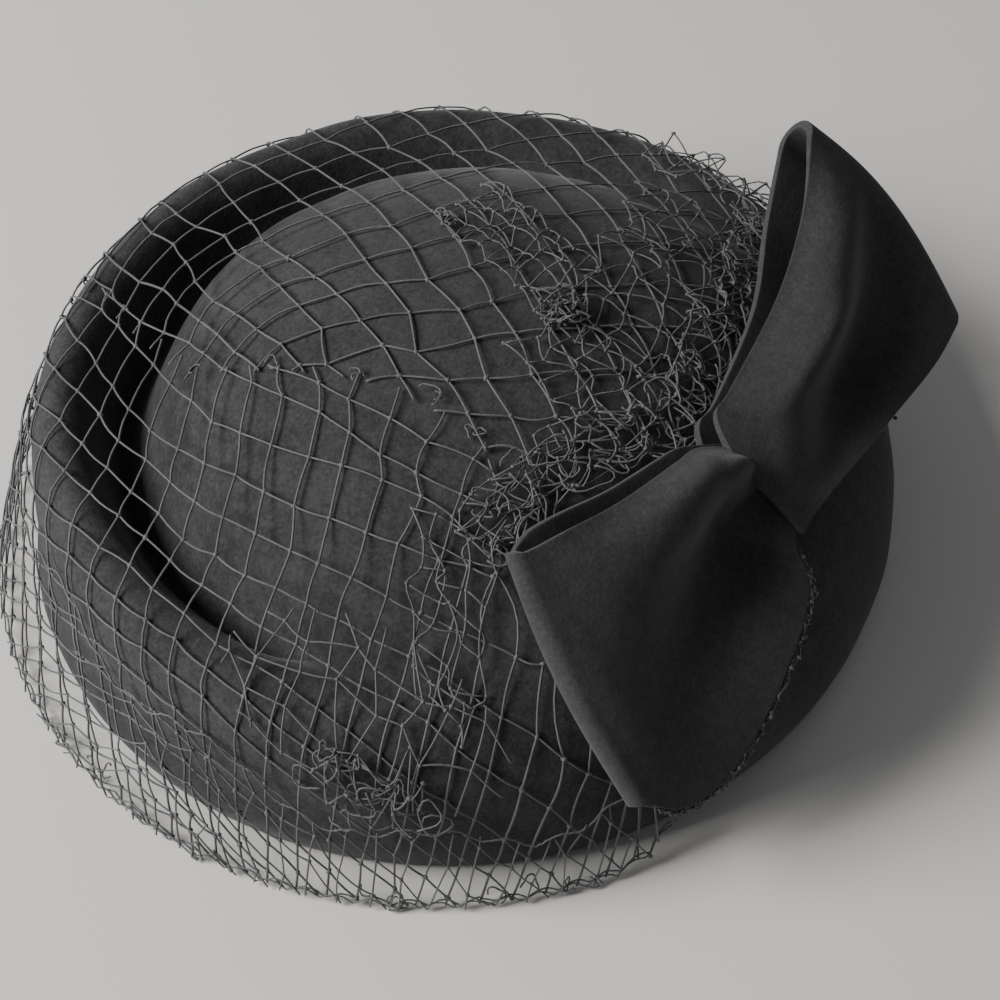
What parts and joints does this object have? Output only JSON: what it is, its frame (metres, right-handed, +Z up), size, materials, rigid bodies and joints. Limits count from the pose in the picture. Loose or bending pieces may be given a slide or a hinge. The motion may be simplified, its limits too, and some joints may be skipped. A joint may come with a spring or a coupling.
{
  "type": "fascinator",
  "caption": "Pillbox felt fascinator with a rolled rim, a gutter round its crown, a flat felt bow on one side and a net veil.",
  "frame": {"origin": "under the middle of the bounding box, at the height of the felt's cut edge", "axes": "+Z up out of the crown, +X toward the bow, -Y toward the wearer's forehead"},
  "size_m": [0.202, 0.2186, 0.0925],
  "materials": {
    "felt": "blocked wool felt, matt with a short soft nap",
    "bow_felt": "pressed wool felt strip, matt",
    "net": "knotted square net of fine stiff thread"
  },
  "bodies": {
    "root": {"felt_body": "felt", "veil": "net", "bow_front_loop": "bow_felt", "bow_back_loop": "bow_felt", "bow_band": "bow_felt"}
  },
  "joints": []
}
